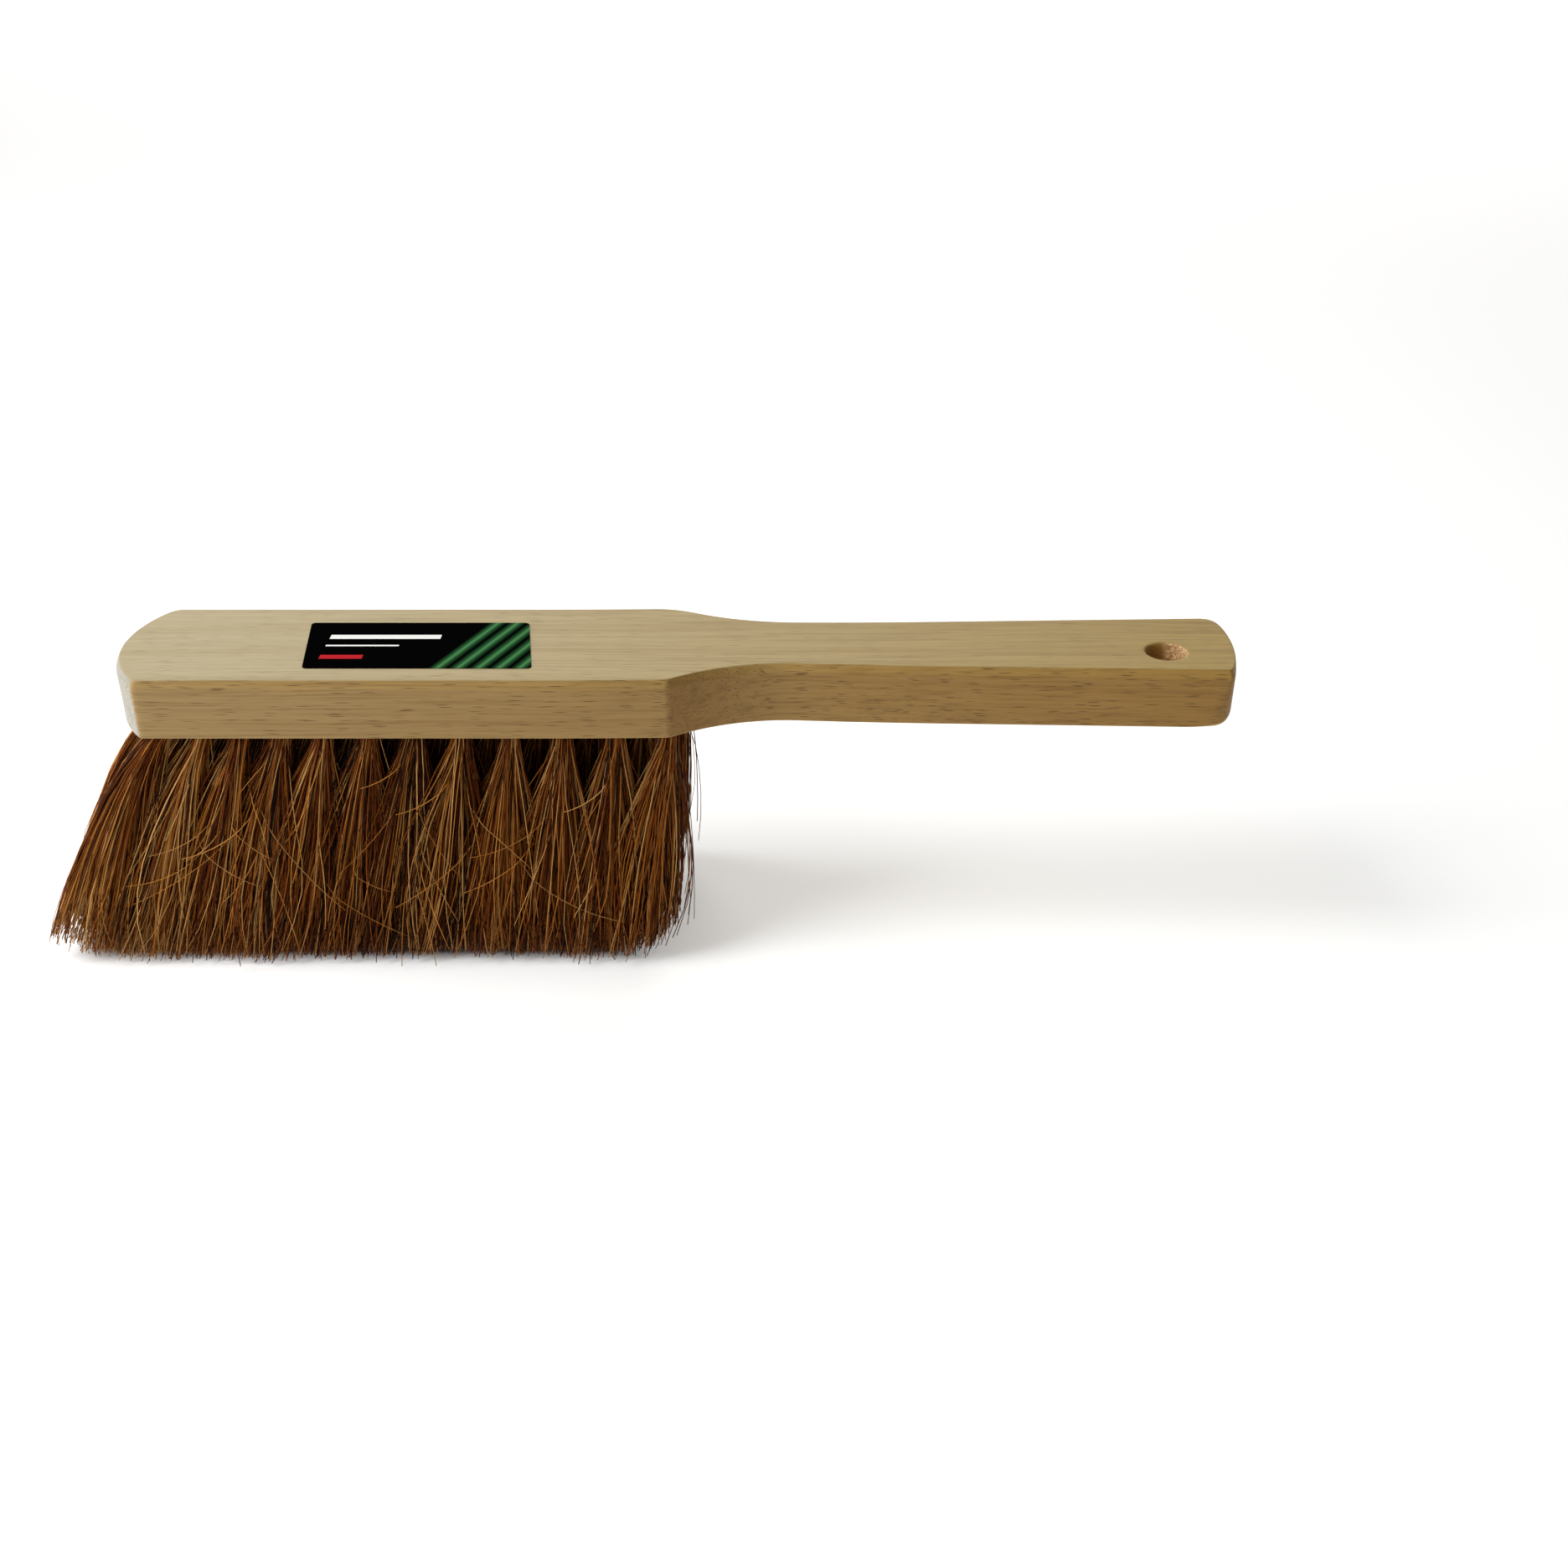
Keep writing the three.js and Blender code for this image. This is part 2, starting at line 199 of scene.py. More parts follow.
def plank_points():
    """Rim: the outline drawn again for each inset and height of the edge profile. Caps: ladders across it."""
    x = outline_stations()[:, None]
    top_corner = (top_bevel_in, plank_thickness)
    bevel_foot = (0, plank_thickness - top_bevel_down)
    corners = [(cap_margin, plank_thickness), top_corner, bevel_foot, (0, plank_thickness / 2)]
    upper = eased_corners(corners, bevel_eases)
    at_end = np.clip(1 - (plank_length - x) / end_round_reach, 0, 1)
    low_round = bottom_round + (end_bottom_round - bottom_round) * at_end**end_round_power
    turn = np.linspace(0, 1, round_steps)[None]
    low_inset = np.concatenate([low_round * turn**2, low_round + cap_margin - bottom_round], axis=1)
    low_height = np.concatenate([low_round * (1 - turn) ** 2, 0 * x], axis=1)
    inset = np.concatenate([np.broadcast_to(upper[:, 0], (len(x), len(upper))), low_inset], axis=1)
    height = np.concatenate([np.broadcast_to(upper[:, 1], (len(x), len(upper))), low_height], axis=1)
    near_edge = np.clip(1 - inset / cap_margin, 0, 1) * (height > plank_thickness / 2)
    low = 1 - np.clip(height / plank_thickness, 0, 1)
    bevel_left = np.clip((plank_length - x) / bevel_fade, bevel_at_end, 1)
    inset = inset * np.where(near_edge > 0, bevel_left, 1)
    end_front = end_ease_front + (end_ease_below - end_ease_front) * low
    eases_front = (toe_ease_front, arris_wear_front, end_front)
    eases_back = (toe_ease_back, arris_wear_back, end_ease_back)
    sides = []
    for side, eases in ((-1, eases_front), (1, eases_back)):
        waver = sanding_waver * (np.sin(x / slow_waver) + np.sin(x / quick_waver + 2 * side))
        side_inset = inset + near_edge * waver
        side_x = side_inset + x * (1 - 2 * side_inset / plank_length)
        middle = neck_wander * np.exp(-(((side_x - neck_wander_x) / neck_wander_reach) ** 2))
        side_y = middle + side * outline_half_width(side_x, side_inset, *eases, side)
        sides.append(np.stack([side_x, side_y, height], axis=2))
    front, back = sides
    rim = np.concatenate([front, back[-2:0:-1]])
    rim[[0, len(x) - 1], :, 1] = np.array([[toe_skew], [end_skew]])

    stations = np.arange(len(x))
    across = np.linspace(0, 1, cap_columns)[None, :, None]
    inner_rings = (rim[:, 0], rim[:, -1])
    caps = [ring[stations, None] * (1 - across) + ring[-stations, None] * across for ring in inner_rings]
    return rim, caps


def to_frame(points):
    """Millimetres from the toe's tip, the plank's middle and its underside, as metres in the frame."""
    return points * MM + np.array([toe_x, 0, underside])


rim, caps = plank_points()
rim_quads = grid_quads(*rim.shape[:2], closed_rows=True)
cap_quads = grid_quads(*caps[0].shape[:2])
rim_size, cap_size = rim[..., 0].size, caps[0][..., 0].size
block_points = np.concatenate([part.reshape(-1, 3) for part in (rim, *caps)])
block_faces = [rim_quads, cap_quads + rim_size, cap_quads + rim_size + cap_size]
block = mesh_piece("wooden_block", to_frame(block_points), *block_faces)
close_shell(block)

# Tuft holes and the tufts' lines from root to tip, as the frame has them
tufts_per_row = 12
outer_row = 17.2
rows = {
    "front": (-outer_row, 0.0),
    "inner_front": (-outer_row / 3, 0.5),
    "inner_back": (outer_row / 3, 0.5),
    "back": (outer_row, 0.0),
}
first_tuft, last_tuft = 15.5, 144.0
pitch_ratio = 1.5
toe_sweep, heel_sweep = 29, 9
row_splay = 5
fibre_length = underside / MM
tuft_hole_radius, tuft_hole_depth = 2.75, 10.5
mouth_widening, mouth_from, mouth_to = 1.12, 0.2, 0.6
drill_past_face = 2


def tuft_lines(row_y, lead):
    """Roots in the underside, their pitch growing evenly to the heel, and tips in a fan open to the toe."""
    last_place = tufts_per_row - 1
    place = np.arange(tufts_per_row) - lead
    toe_pitch = 2 * (last_tuft - first_tuft) / last_place / (1 + pitch_ratio)
    growth = toe_pitch * (pitch_ratio - 1) / (last_place - 1)
    root_x = first_tuft + toe_pitch * place + growth * place * (place - 1) / 2
    tip_start = first_tuft - toe_sweep
    tip_x = tip_start + (last_tuft - heel_sweep - tip_start) * place / last_place
    level = np.ones(tufts_per_row)
    roots = np.stack([root_x, row_y * level, 0 * level], axis=1)
    tips = np.stack([tip_x, row_y * (1 + row_splay / outer_row) * level, -fibre_length * level], axis=1)
    return roots, tips


def bored_holes(sides=14):
    """Closed round bars along the tuft holes: rings carried along each, wider at the mouth, shut by fans."""
    lines = [tuft_lines(*row) for row in rows.values()]
    roots, tips = (np.concatenate(ends) for ends in zip(*lines))
    axis = roots - tips
    axis /= np.linalg.norm(axis, axis=1, keepdims=True)
    across = np.cross(axis, [0, 1, 0])
    across /= np.linalg.norm(across, axis=1, keepdims=True)
    upright = np.cross(axis, across)
    turn = np.linspace(0, 2 * np.pi, sides, endpoint=False)[None, None, :, None]
    widths = np.array([0, mouth_widening, mouth_widening, 1, 1, 0])
    outside, bottom = -drill_past_face, tuft_hole_depth
    depths = np.array([outside, outside, mouth_from, mouth_to, bottom, bottom])
    radius = tuft_hole_radius * widths[None, :, None, None]
    along = depths[None, :, None, None]
    circle = np.cos(turn) * across[:, None, None, :] + np.sin(turn) * upright[:, None, None, :]
    points = roots[:, None, None, :] + along * axis[:, None, None, :] + radius * circle
    quads = grid_quads(len(depths), sides, closed_columns=True)
    shifts = np.arange(len(roots))[:, None, None] * len(depths) * sides
    return points.reshape(-1, 3), (quads[None] + shifts).reshape(-1, 4)


hang_hole_x, hang_hole_y = plank_length - 18.5, -5.0
hang_hole_radius = 4.85
hang_rim_ease, hang_rim_depth = 1.0, 2.2


def hanging_bore(sides=56):
    """Surface of revolution: the drill's radius, widened at both faces by the worn rim's quarter ellipse."""
    low = np.array([-1, -1, 0, 0.15, 0.4, 0.8, 1.4, hang_rim_depth])
    below_rim = 1 - np.clip(low, 0, hang_rim_depth) / hang_rim_depth
    worn = hang_rim_ease * (1 - np.sqrt(np.clip(1 - below_rim**2, 0, 1)))
    heights = np.concatenate([low, plank_thickness - low[::-1]])
    radii = hang_hole_radius + np.concatenate([worn, worn[::-1]])
    radii[[0, -1]] = 0
    turn = np.linspace(0, 2 * np.pi, sides, endpoint=False)
    plan = radii[:, None, None] * np.stack([np.cos(turn), np.sin(turn)], axis=1)[None]
    level = np.broadcast_to(heights[:, None, None], (len(heights), sides, 1))
    points = np.concatenate([plan + np.array([hang_hole_x, hang_hole_y]), level], axis=2)
    return points.reshape(-1, 3), grid_quads(len(heights), sides, closed_columns=True)


tuft_bars, tuft_quads = bored_holes()
hang_bar, hang_quads = hanging_bore()
drill_points = to_frame(np.concatenate([tuft_bars, hang_bar]))
drills = mesh_piece("drills", drill_points, tuft_quads, hang_quads + len(tuft_bars))
close_shell(drills)
boring = block.modifiers.new("Boring", "BOOLEAN")
boring.operation = "DIFFERENCE"
boring.solver = "MANIFOLD"
boring.object = drills
bored = bpy.data.meshes.new_from_object(block.evaluated_get(bpy.context.evaluated_depsgraph_get()))
block.modifiers.remove(boring)
block.data = bored
bored.name = "wooden_block"
sharp_edge = np.radians(38)
bored.set_sharp_from_angle(angle=sharp_edge)
bored.polygons.foreach_set("material_index", np.zeros(len(bored.polygons), np.int32))
bpy.data.objects.remove(drills)


def linear(hex_colour):
    """sRGB hex colour as linear RGBA."""
    srgb = np.array([int(hex_colour[i : i + 2], 16) for i in (1, 3, 5)]) / 255
    rgb = np.where(srgb <= 0.04045, srgb / 12.92, ((srgb + 0.055) / 1.055) ** 2.4)
    return (*rgb.tolist(), 1.0)


def new_material(name):
    """Material with only a Principled shader and its output; returns it with its node tree and shader."""
    material = bpy.data.materials.new(name)
    material.use_nodes = True
    tree = material.node_tree
    return material, tree, tree.nodes["Principled BSDF"]


def add_node(tree, kind, inputs=None, stops=(), **settings):
    """Adds a node: settings are its properties, inputs its sockets (a socket is linked, a value set)."""
    node = tree.nodes.new(kind)
    for name, value in settings.items():
        setattr(node, name, value)
    for socket, value in (inputs or {}).items():
        if isinstance(value, bpy.types.NodeSocket):
            tree.links.new(value, node.inputs[socket])
        else:
            node.inputs[socket].default_value = value
    elements = node.color_ramp.elements if stops else None
    for number, (place, colour) in enumerate(stops):
        element = elements[number] if number < len(elements) else elements.new(place)
        element.position = place
        element.color = linear(colour)
    return node


# Rubberwood, planed and bare: pale straw with faint growth bands and fine streaks, and short brown pore
# dashes that turn to dots where a face cuts across the grain. The top darkens from toe to handle as painted
# falloff of the light. Moulded sides are warmer and darker, partly their own tone and partly painted shade;
# the bevel under the top edge is a painted highlight, and the neck is darker, partly its open pores and
# partly painted shade. End grain is redder in the bore and reaches wider round its lit wall as painted light;
# at the toe it is painted pale grey as cool light from the left. Lengths are millimetres along the plank from
# its toe, and leans are the cosines between which a face counts as turned up or to an end.
pith_y, pith_z = 40, -75
band_width = 4.5
streak_length, streak_width = 45, 0.7
pore_length, pore_width = 9, 0.42
fleck_length, fleck_width = 2.0, 0.4
wander_length, wander_reach = 45, 3.0
# The top's colour darkens from the toe to the handle: painted falloff of the light from the left.
planed_toe_lit, planed_handle_shaded = "#b1a27f", "#a48740"
# The sides' darker, warmer colour is partly the moulded surface's own tone and partly painted shade of sides
# turned from the light.
moulded_toe_and_shade, moulded_handle_and_shade = "#a18351", "#9b7536"
# Colours of the toe's end grain, painted pale grey as the cool light from the left falls on it; of the bevel,
# a painted highlight where it turns up to the light; of the neck, partly its open pores and partly painted
# shade; and of the pores.
toe_end_grain_lit, bevel_highlight, cut_neck_and_shade, pore_brown = "#a09c90", "#cfae62", "#8f611c", "#5f4420"
handle_from, handle_to = 20, 280
toe_from, toe_to = 20, 60
neck_from, neck_to = 230, 190
top_leans, bevel_leans = (0.5, 0.9), (0.16, 0.38)
# The hanging hole's end grain reaches wider round the wall that faces the toe: painted light on the wall the
# lamp lights.
toe_leans, end_leans, lit_bore_leans = (-0.42, -0.68), (0.9, 0.99), (0.05, -0.3)
off_toe_leans, oblique_leans = (-0.5, -0.2), (0.15, 0.6)
# Strengths of the bevel's painted highlight and of the neck's darker colour, which is partly painted shade.
bevel_highlight_strength, neck_cut_and_shade_share = 0.19, 0.62
toe_streaks, handle_streaks, side_streaks = 0.4, 0.75, 0.7
toe_pores, handle_pores, top_pores = 0.85, 1.35, 0.45
bore_wall = hang_hole_radius + 0.75 * hang_rim_ease

rubberwood, tree, shader = new_material("planed rubberwood")
place = add_node(tree, "ShaderNodeTexCoord").outputs["Object"]
to_mm = {"Vector": place, "Location": (-toe_x / MM, 0, -underside / MM), "Scale": (1 / MM, 1 / MM, 1 / MM)}
plank_mm = add_node(tree, "ShaderNodeMapping", to_mm).outputs["Vector"]
slow = add_node(tree, "ShaderNodeMapping", {"Vector": plank_mm, "Scale": (0.3, 1, 1)}).outputs["Vector"]
wander = add_node(tree, "ShaderNodeTexNoise", {"Vector": slow, "Scale": 1 / wander_length, "Detail": 2.0})
centred = add_node(
    tree, "ShaderNodeVectorMath", {0: wander.outputs["Color"], 1: (0.5, 0.5, 0.5)}, operation="SUBTRACT"
)
shift = add_node(
    tree,
    "ShaderNodeVectorMath",
    {0: centred.outputs["Vector"], 1: (0, 2 * wander_reach, 2 * wander_reach)},
    operation="MULTIPLY",
)
grain = add_node(
    tree, "ShaderNodeVectorMath", {0: plank_mm, 1: shift.outputs["Vector"]}, operation="ADD"
).outputs["Vector"]

around_pith = {"Vector": grain, "Location": (0, -pith_y, -pith_z), "Scale": (0, 1, 1)}
from_pith = add_node(tree, "ShaderNodeMapping", around_pith)
pith_distance = add_node(
    tree, "ShaderNodeVectorMath", {0: from_pith.outputs["Vector"]}, operation="LENGTH"
).outputs["Value"]
bands = add_node(
    tree,
    "ShaderNodeTexNoise",
    {"W": pith_distance, "Scale": 1 / band_width, "Detail": 2.5, "Roughness": 0.6},
    noise_dimensions="1D",
).outputs["Fac"]
streak_scale = (1 / streak_length, 1 / streak_width, 1 / streak_width)
streak_place = add_node(
    tree, "ShaderNodeMapping", {"Vector": grain, "Scale": streak_scale}
).outputs["Vector"]
streaks = add_node(
    tree, "ShaderNodeTexNoise", {"Vector": streak_place, "Scale": 1.0, "Detail": 3.0, "Roughness": 0.65}
).outputs["Fac"]
pore_scale = (1 / pore_length, 1 / pore_width, 1 / pore_width)
pore_place = add_node(tree, "ShaderNodeMapping", {"Vector": grain, "Scale": pore_scale}).outputs["Vector"]
cells = add_node(tree, "ShaderNodeTexVoronoi", {"Vector": pore_place, "Scale": 1.0, "Randomness": 1.0})
in_pore = add_node(
    tree,
    "ShaderNodeMapRange",
    {"Value": cells.outputs["Distance"], "From Min": 0.32, "From Max": 0.12, "To Min": 0.0, "To Max": 1.0},
    interpolation_type="SMOOTHSTEP",
).outputs["Result"]
cell_chance = add_node(tree, "ShaderNodeSeparateColor", {"Color": cells.outputs["Color"]}).outputs["Red"]
patchy = add_node(tree, "ShaderNodeMath", {0: cell_chance, 1: bands}, operation="ADD").outputs["Value"]
open_cell = add_node(
    tree,
    "ShaderNodeMapRange",
    {"Value": patchy, "From Min": 0.62, "From Max": 1.15, "To Min": 0.0, "To Max": 1.0},
).outputs["Result"]
pores = add_node(tree, "ShaderNodeMath", {0: in_pore, 1: open_cell}, operation="MULTIPLY").outputs["Value"]

facing = add_node(tree, "ShaderNodeNewGeometry").outputs["Normal"]
facing_xyz = add_node(tree, "ShaderNodeSeparateXYZ", {"Vector": facing})
to_end, to_top = facing_xyz.outputs["X"], facing_xyz.outputs["Z"]
upness = add_node(tree, "ShaderNodeMath", {0: to_top}, operation="ABSOLUTE").outputs["Value"]
endness = add_node(tree, "ShaderNodeMath", {0: to_end}, operation="ABSOLUTE").outputs["Value"]
on_face = add_node(
    tree, "ShaderNodeMapRange", {"Value": upness, "From Min": top_leans[0], "From Max": top_leans[1]}
).outputs["Result"]
cut_at_toe = add_node(
    tree, "ShaderNodeMapRange", {"Value": to_end, "From Min": toe_leans[0], "From Max": toe_leans[1]}
).outputs["Result"]
cut_at_end = add_node(
    tree, "ShaderNodeMapRange", {"Value": to_end, "From Min": end_leans[0], "From Max": end_leans[1]}
).outputs["Result"]
across_grain = add_node(
    tree, "ShaderNodeMath", {0: cut_at_toe, 1: cut_at_end}, operation="MAXIMUM"
).outputs["Value"]
around_bore = {"Vector": plank_mm, "Location": (-hang_hole_x, -hang_hole_y, 0), "Scale": (1, 1, 0)}
from_bore_axis = add_node(tree, "ShaderNodeMapping", around_bore).outputs["Vector"]
bore_distance = add_node(
    tree, "ShaderNodeVectorMath", {0: from_bore_axis}, operation="LENGTH"
).outputs["Value"]
in_bore = add_node(
    tree, "ShaderNodeMath", {0: bore_distance, 1: bore_wall}, operation="LESS_THAN"
).outputs["Value"]
# The hanging hole's wall that faces the toe shows pale end grain over a wider arc: painted light on the lit
# wall.
lit_bore_side = add_node(
    tree, "ShaderNodeMapRange", {"Value": to_end, "From Min": lit_bore_leans[0], "From Max": lit_bore_leans[1]}
).outputs["Result"]
in_lit_bore_wall = add_node(
    tree, "ShaderNodeMath", {0: in_bore, 1: lit_bore_side}, operation="MULTIPLY"
).outputs["Value"]
on_end = add_node(
    tree, "ShaderNodeMath", {0: across_grain, 1: in_lit_bore_wall}, operation="MAXIMUM"
).outputs["Value"]

along_plank = add_node(tree, "ShaderNodeSeparateXYZ", {"Vector": plank_mm}).outputs["X"]
to_handle = add_node(
    tree, "ShaderNodeMapRange", {"Value": along_plank, "From Min": handle_from, "From Max": handle_to}
).outputs["Result"]
off_toe = add_node(
    tree, "ShaderNodeMapRange", {"Value": along_plank, "From Min": toe_from, "From Max": toe_to}
).outputs["Result"]
# Top colour, paler at the toe and darker towards the handle as painted falloff of the light.
planed = add_node(
    tree,
    "ShaderNodeMix",
    {"Factor": to_handle, 6: linear(planed_toe_lit), 7: linear(planed_handle_shaded)},
    data_type="RGBA",
).outputs[2]
# Side colour: partly the moulded surface's own tone, partly painted shade of sides turned from the light.
moulded = add_node(
    tree,
    "ShaderNodeMix",
    {"Factor": to_handle, 6: linear(moulded_toe_and_shade), 7: linear(moulded_handle_and_shade)},
    data_type="RGBA",
).outputs[2]
# Painted highlight on the bevel below the top edge, where it turns up to the light, kept off the toe's end.
off_toe_face = add_node(
    tree,
    "ShaderNodeMapRange",
    {"Value": to_end, "From Min": off_toe_leans[0], "From Max": off_toe_leans[1], "To Max": bevel_highlight_strength},
).outputs["Result"]
bevel_highlight_mask = add_node(
    tree,
    "ShaderNodeMapRange",
    {"Value": upness, "From Min": bevel_leans[0], "From Max": bevel_leans[1], "To Max": off_toe_face},
).outputs["Result"]
highlighted_bevel = add_node(
    tree, "ShaderNodeMix", {"Factor": bevel_highlight_mask, 6: moulded, 7: linear(bevel_highlight)}, data_type="RGBA"
).outputs[2]
# The sides take their partly painted shade, the top its lit colour.
by_face = add_node(
    tree, "ShaderNodeMix", {"Factor": on_face, 6: highlighted_bevel, 7: planed}, data_type="RGBA"
).outputs[2]
fleck_scale = (1 / fleck_length, 1 / fleck_width, 1 / fleck_width)
fleck_place = add_node(tree, "ShaderNodeMapping", {"Vector": grain, "Scale": fleck_scale}).outputs["Vector"]
flecks = add_node(
    tree, "ShaderNodeTexNoise", {"Vector": fleck_place, "Scale": 1.0, "Detail": 1.0}
).outputs["Fac"]
end_grain = add_node(
    tree,
    "ShaderNodeValToRGB",
    {"Fac": flecks},
    stops=[(0.36, "#a8744a"), (0.5, "#c8a06c"), (0.62, "#dcbf8e")],
).outputs["Color"]
# End grain at the toe is painted pale grey as cool light from the left falls on it; further on it is flecked.
end_colour = add_node(
    tree, "ShaderNodeMix", {"Factor": off_toe, 6: linear(toe_end_grain_lit), 7: end_grain}, data_type="RGBA"
).outputs[2]
# The neck's oblique faces are darker: partly their open pores, partly painted shade of faces turned from the
# light.
oblique = add_node(
    tree,
    "ShaderNodeMapRange",
    {"Value": endness, "From Min": oblique_leans[0], "From Max": oblique_leans[1], "To Max": neck_cut_and_shade_share},
).outputs["Result"]
before_end = add_node(
    tree, "ShaderNodeMapRange", {"Value": along_plank, "From Min": neck_from, "From Max": neck_to}
).outputs["Result"]
at_neck = add_node(
    tree, "ShaderNodeMath", {0: off_toe, 1: before_end}, operation="MULTIPLY"
).outputs["Value"]
neck_cut_and_shade_mask = add_node(
    tree, "ShaderNodeMath", {0: oblique, 1: at_neck}, operation="MULTIPLY"
).outputs["Value"]
by_neck_cut_and_shade = add_node(
    tree, "ShaderNodeMix", {"Factor": neck_cut_and_shade_mask, 6: by_face, 7: linear(cut_neck_and_shade)}, data_type="RGBA"
).outputs[2]
by_end = add_node(
    tree, "ShaderNodeMix", {"Factor": on_end, 6: by_neck_cut_and_shade, 7: end_colour}, data_type="RGBA"
).outputs[2]
band_tone = add_node(
    tree,
    "ShaderNodeValToRGB",
    {"Fac": bands},
    stops=[(0.25, "#f6f2ea"), (0.5, "#ffffff"), (0.75, "#f2ede3")],
).outputs["Color"]
banded = add_node(
    tree, "ShaderNodeMix", {"Factor": 1.0, 6: by_end, 7: band_tone}, data_type="RGBA", blend_type="MULTIPLY"
).outputs[2]
streak_tone = add_node(
    tree,
    "ShaderNodeValToRGB",
    {"Fac": streaks},
    stops=[(0.32, "#cfc4b0"), (0.55, "#ffffff")],
).outputs["Color"]
top_streak_strength = add_node(
    tree, "ShaderNodeMapRange", {"Value": to_handle, "To Min": toe_streaks, "To Max": handle_streaks}
).outputs["Result"]
streak_strength = add_node(
    tree, "ShaderNodeMapRange", {"Value": on_face, "To Min": side_streaks, "To Max": top_streak_strength}
).outputs["Result"]
streaked = add_node(
    tree,
    "ShaderNodeMix",
    {"Factor": streak_strength, 6: banded, 7: streak_tone},
    data_type="RGBA",
    blend_type="MULTIPLY",
).outputs[2]
side_pore_strength = add_node(
    tree, "ShaderNodeMapRange", {"Value": to_handle, "To Min": toe_pores, "To Max": handle_pores}
).outputs["Result"]
pore_strength = add_node(
    tree, "ShaderNodeMapRange", {"Value": on_face, "To Min": side_pore_strength, "To Max": top_pores}
).outputs["Result"]
pore_share = add_node(
    tree, "ShaderNodeMath", {0: pores, 1: pore_strength}, operation="MULTIPLY"
).outputs["Value"]
wood_colour = add_node(
    tree, "ShaderNodeMix", {"Factor": pore_share, 6: streaked, 7: linear(pore_brown)}, data_type="RGBA"
).outputs[2]
relief = add_node(tree, "ShaderNodeMath", {0: streaks, 1: pores}, operation="SUBTRACT").outputs["Value"]
bump = add_node(tree, "ShaderNodeBump", {"Height": relief, "Strength": 0.25, "Distance": 0.12 * MM})
tree.links.new(wood_colour, shader.inputs["Base Color"])
tree.links.new(bump.outputs["Normal"], shader.inputs["Normal"])
shader.inputs["Roughness"].default_value = 0.58
shader.inputs["Specular IOR Level"].default_value = 0.35

bored.materials.clear()
bored.materials.append(rubberwood)
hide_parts("handle_block")
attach(block, "root")

# Staples: short pieces of drawn steel wire, bent to a U and driven through the fold of each tuft into the
# wood. They sit at the bottom of the tuft holes, under the fibres.
# Drawing leaves the wire a dull shine and fine lines, made four times as coarse here so that they show.
draw_line_width, draw_line_coarser = 0.05, 4
steel_wire, tree, shader = new_material("drawn steel wire")
place = add_node(tree, "ShaderNodeTexCoord").outputs["Object"]
lines_per_metre = 1 / (draw_line_width * MM * draw_line_coarser)
lines = add_node(
    tree, "ShaderNodeTexNoise", {"Vector": place, "Scale": lines_per_metre, "Detail": 2.0}
).outputs["Fac"]
wire_tone = add_node(
    tree, "ShaderNodeValToRGB", {"Fac": lines}, stops=[(0.35, "#8f8f8b"), (0.7, "#c2c2bd")]
).outputs["Color"]
tree.links.new(wire_tone, shader.inputs["Base Color"])
shader.inputs["Metallic"].default_value = 1.0
shader.inputs["Roughness"].default_value = 0.34
staples = [node for name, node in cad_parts.items() if name.startswith("staple_")]
for staple in staples:
    staple.material_slots[0].material = steel_wire

# Tufts: bundles of coir, the coarse fibre of the coconut husk, each folded in two and stapled into its hole.
# They are trimmed after filling, fan out from the holes and fall into locks; some fibres stray or break.
fibres_per_tuft = 620
locks_per_tuft = 24
rings_per_fibre, ring_crowding = 9, 1.15
fibre_sides = 3
thinnest_fibre, thickest_fibre = 0.11, 0.2
tip_taper = 0.2

# Where a fibre starts and ends: its place in the hole and in the fan
root_reach, root_order = 2.3, 0.25
fan_reach_x, fan_reach_y = 11.5, 7.0
toe_spread, heel_gather, end_tuft_power = 2.5, 3.5, 6
fan_crowding = 0.85
lock_scatter, wild_scatter, scatter_across = 0.8, 6.0, 0.35
wild_limit = 1.8
toe_limit, heel_limit, side_limit = -27.0, 144.0, 28.0
free_share, wild_share, stray_share, broken_share = 0.34, 0.27, 0.06, 0.05
heel_strays, heel_stray_power = 0.2, 12

# How it is trimmed or broken off, and how far it reaches up into its hole
tuft_unevenness, lock_unevenness, fibre_unevenness = 1.7, 3.0, 0.5
trimmed_share, untrimmed_length = 0.84, 2.0
toe_trim_x, toe_trim_slope = -15, 0.45
heel_trim_x, heel_trim_curve = 127, 0.034
broken_length, most_missing = 28, 0.6
hidden_share = 0.035

# How it runs between: the fan's opening, its own bow, curl and crimp, and the row's edges
toe_opening, heel_opening, opening_power = 0.67, 0.98, 0.4
lock_bow_size, fibre_bow, tangled_bow, stray_bow = 1.0, 0.9, 3.2, 4.0
tangled_share = 0.38
bow_height, bow_power, bow_across = 5.4, 1.5, 0.5
fibre_curl, stray_curl = 1.8, 5.0
crimp_size, fewest_waves, more_waves, crimp_growth = 0.5, 0.8, 1.4, 4
heel_bulge = 1.4
edge_play, stray_play, play_growth = 2.2, 4.0, 3
lock_play_share, own_play_share = 0.7, 0.3

# Its tone, from 0 for the darkest coir to 1 for the palest
lock_tone, lock_tone_spread, fibre_tone_spread = 0.4, 0.18, 0.3
pale_share, pale_step = 0.15, 0.36
# Toe tufts are paler: a paler tone from the root, and painted light from the left lamp that grows towards the
# tips.
toe_gilt_and_light, gilt_at_root, painted_light_growth, gilt_and_light_power = 0.42, 0.45, 0.75, 6
darkest_tone, palest_tone = 0.02, 0.98


def unit_disc(random, shape):
    """Even random points in a disc of radius 1: the radius is the root of an even random number."""
    radius = np.sqrt(random.random(shape))
    turn = 2 * np.pi * random.random(shape)
    return radius[..., None] * np.stack([np.cos(turn), np.sin(turn)], axis=-1)


def limited_normal(random, shape):
    """Normal random numbers, cut off at the wild limit on both sides."""
    return np.clip(random.normal(size=shape), -wild_limit, wild_limit)


